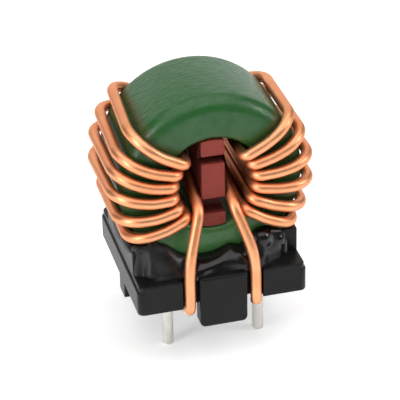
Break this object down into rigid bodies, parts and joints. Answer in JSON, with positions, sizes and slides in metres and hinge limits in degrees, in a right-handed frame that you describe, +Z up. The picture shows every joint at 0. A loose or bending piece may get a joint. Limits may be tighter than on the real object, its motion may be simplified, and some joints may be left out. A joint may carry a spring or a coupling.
{
  "type": "common mode choke",
  "caption": "Ring-core common mode choke standing on edge in a black base, with two stiff copper windings kept apart by a divider and tinned pins below.",
  "frame": {"origin": "centre of the pin pattern on the seating plane under the feet", "axes": "+X across the windings, +Y from the front tab to the back tab along the ring's axis, +Z up from the board; the pins point along -Z"},
  "size_m": [0.0225, 0.0188, 0.0298],
  "materials": {
    "base_plastic": "satin",
    "ferrite": "matte",
    "green_coating": "satin",
    "divider_board": "matte",
    "enamelled_copper": "gloss enamel",
    "black_adhesive": "gloss",
    "tinned_wire": "dull solder"
  },
  "bodies": {
    "root": {"base": "base_plastic", "ferrite_core": "ferrite", "core_coating": "green_coating", "divider": "divider_board", "winding_left": "enamelled_copper", "winding_right": "enamelled_copper", "adhesive": "black_adhesive"}
  },
  "joints": []
}
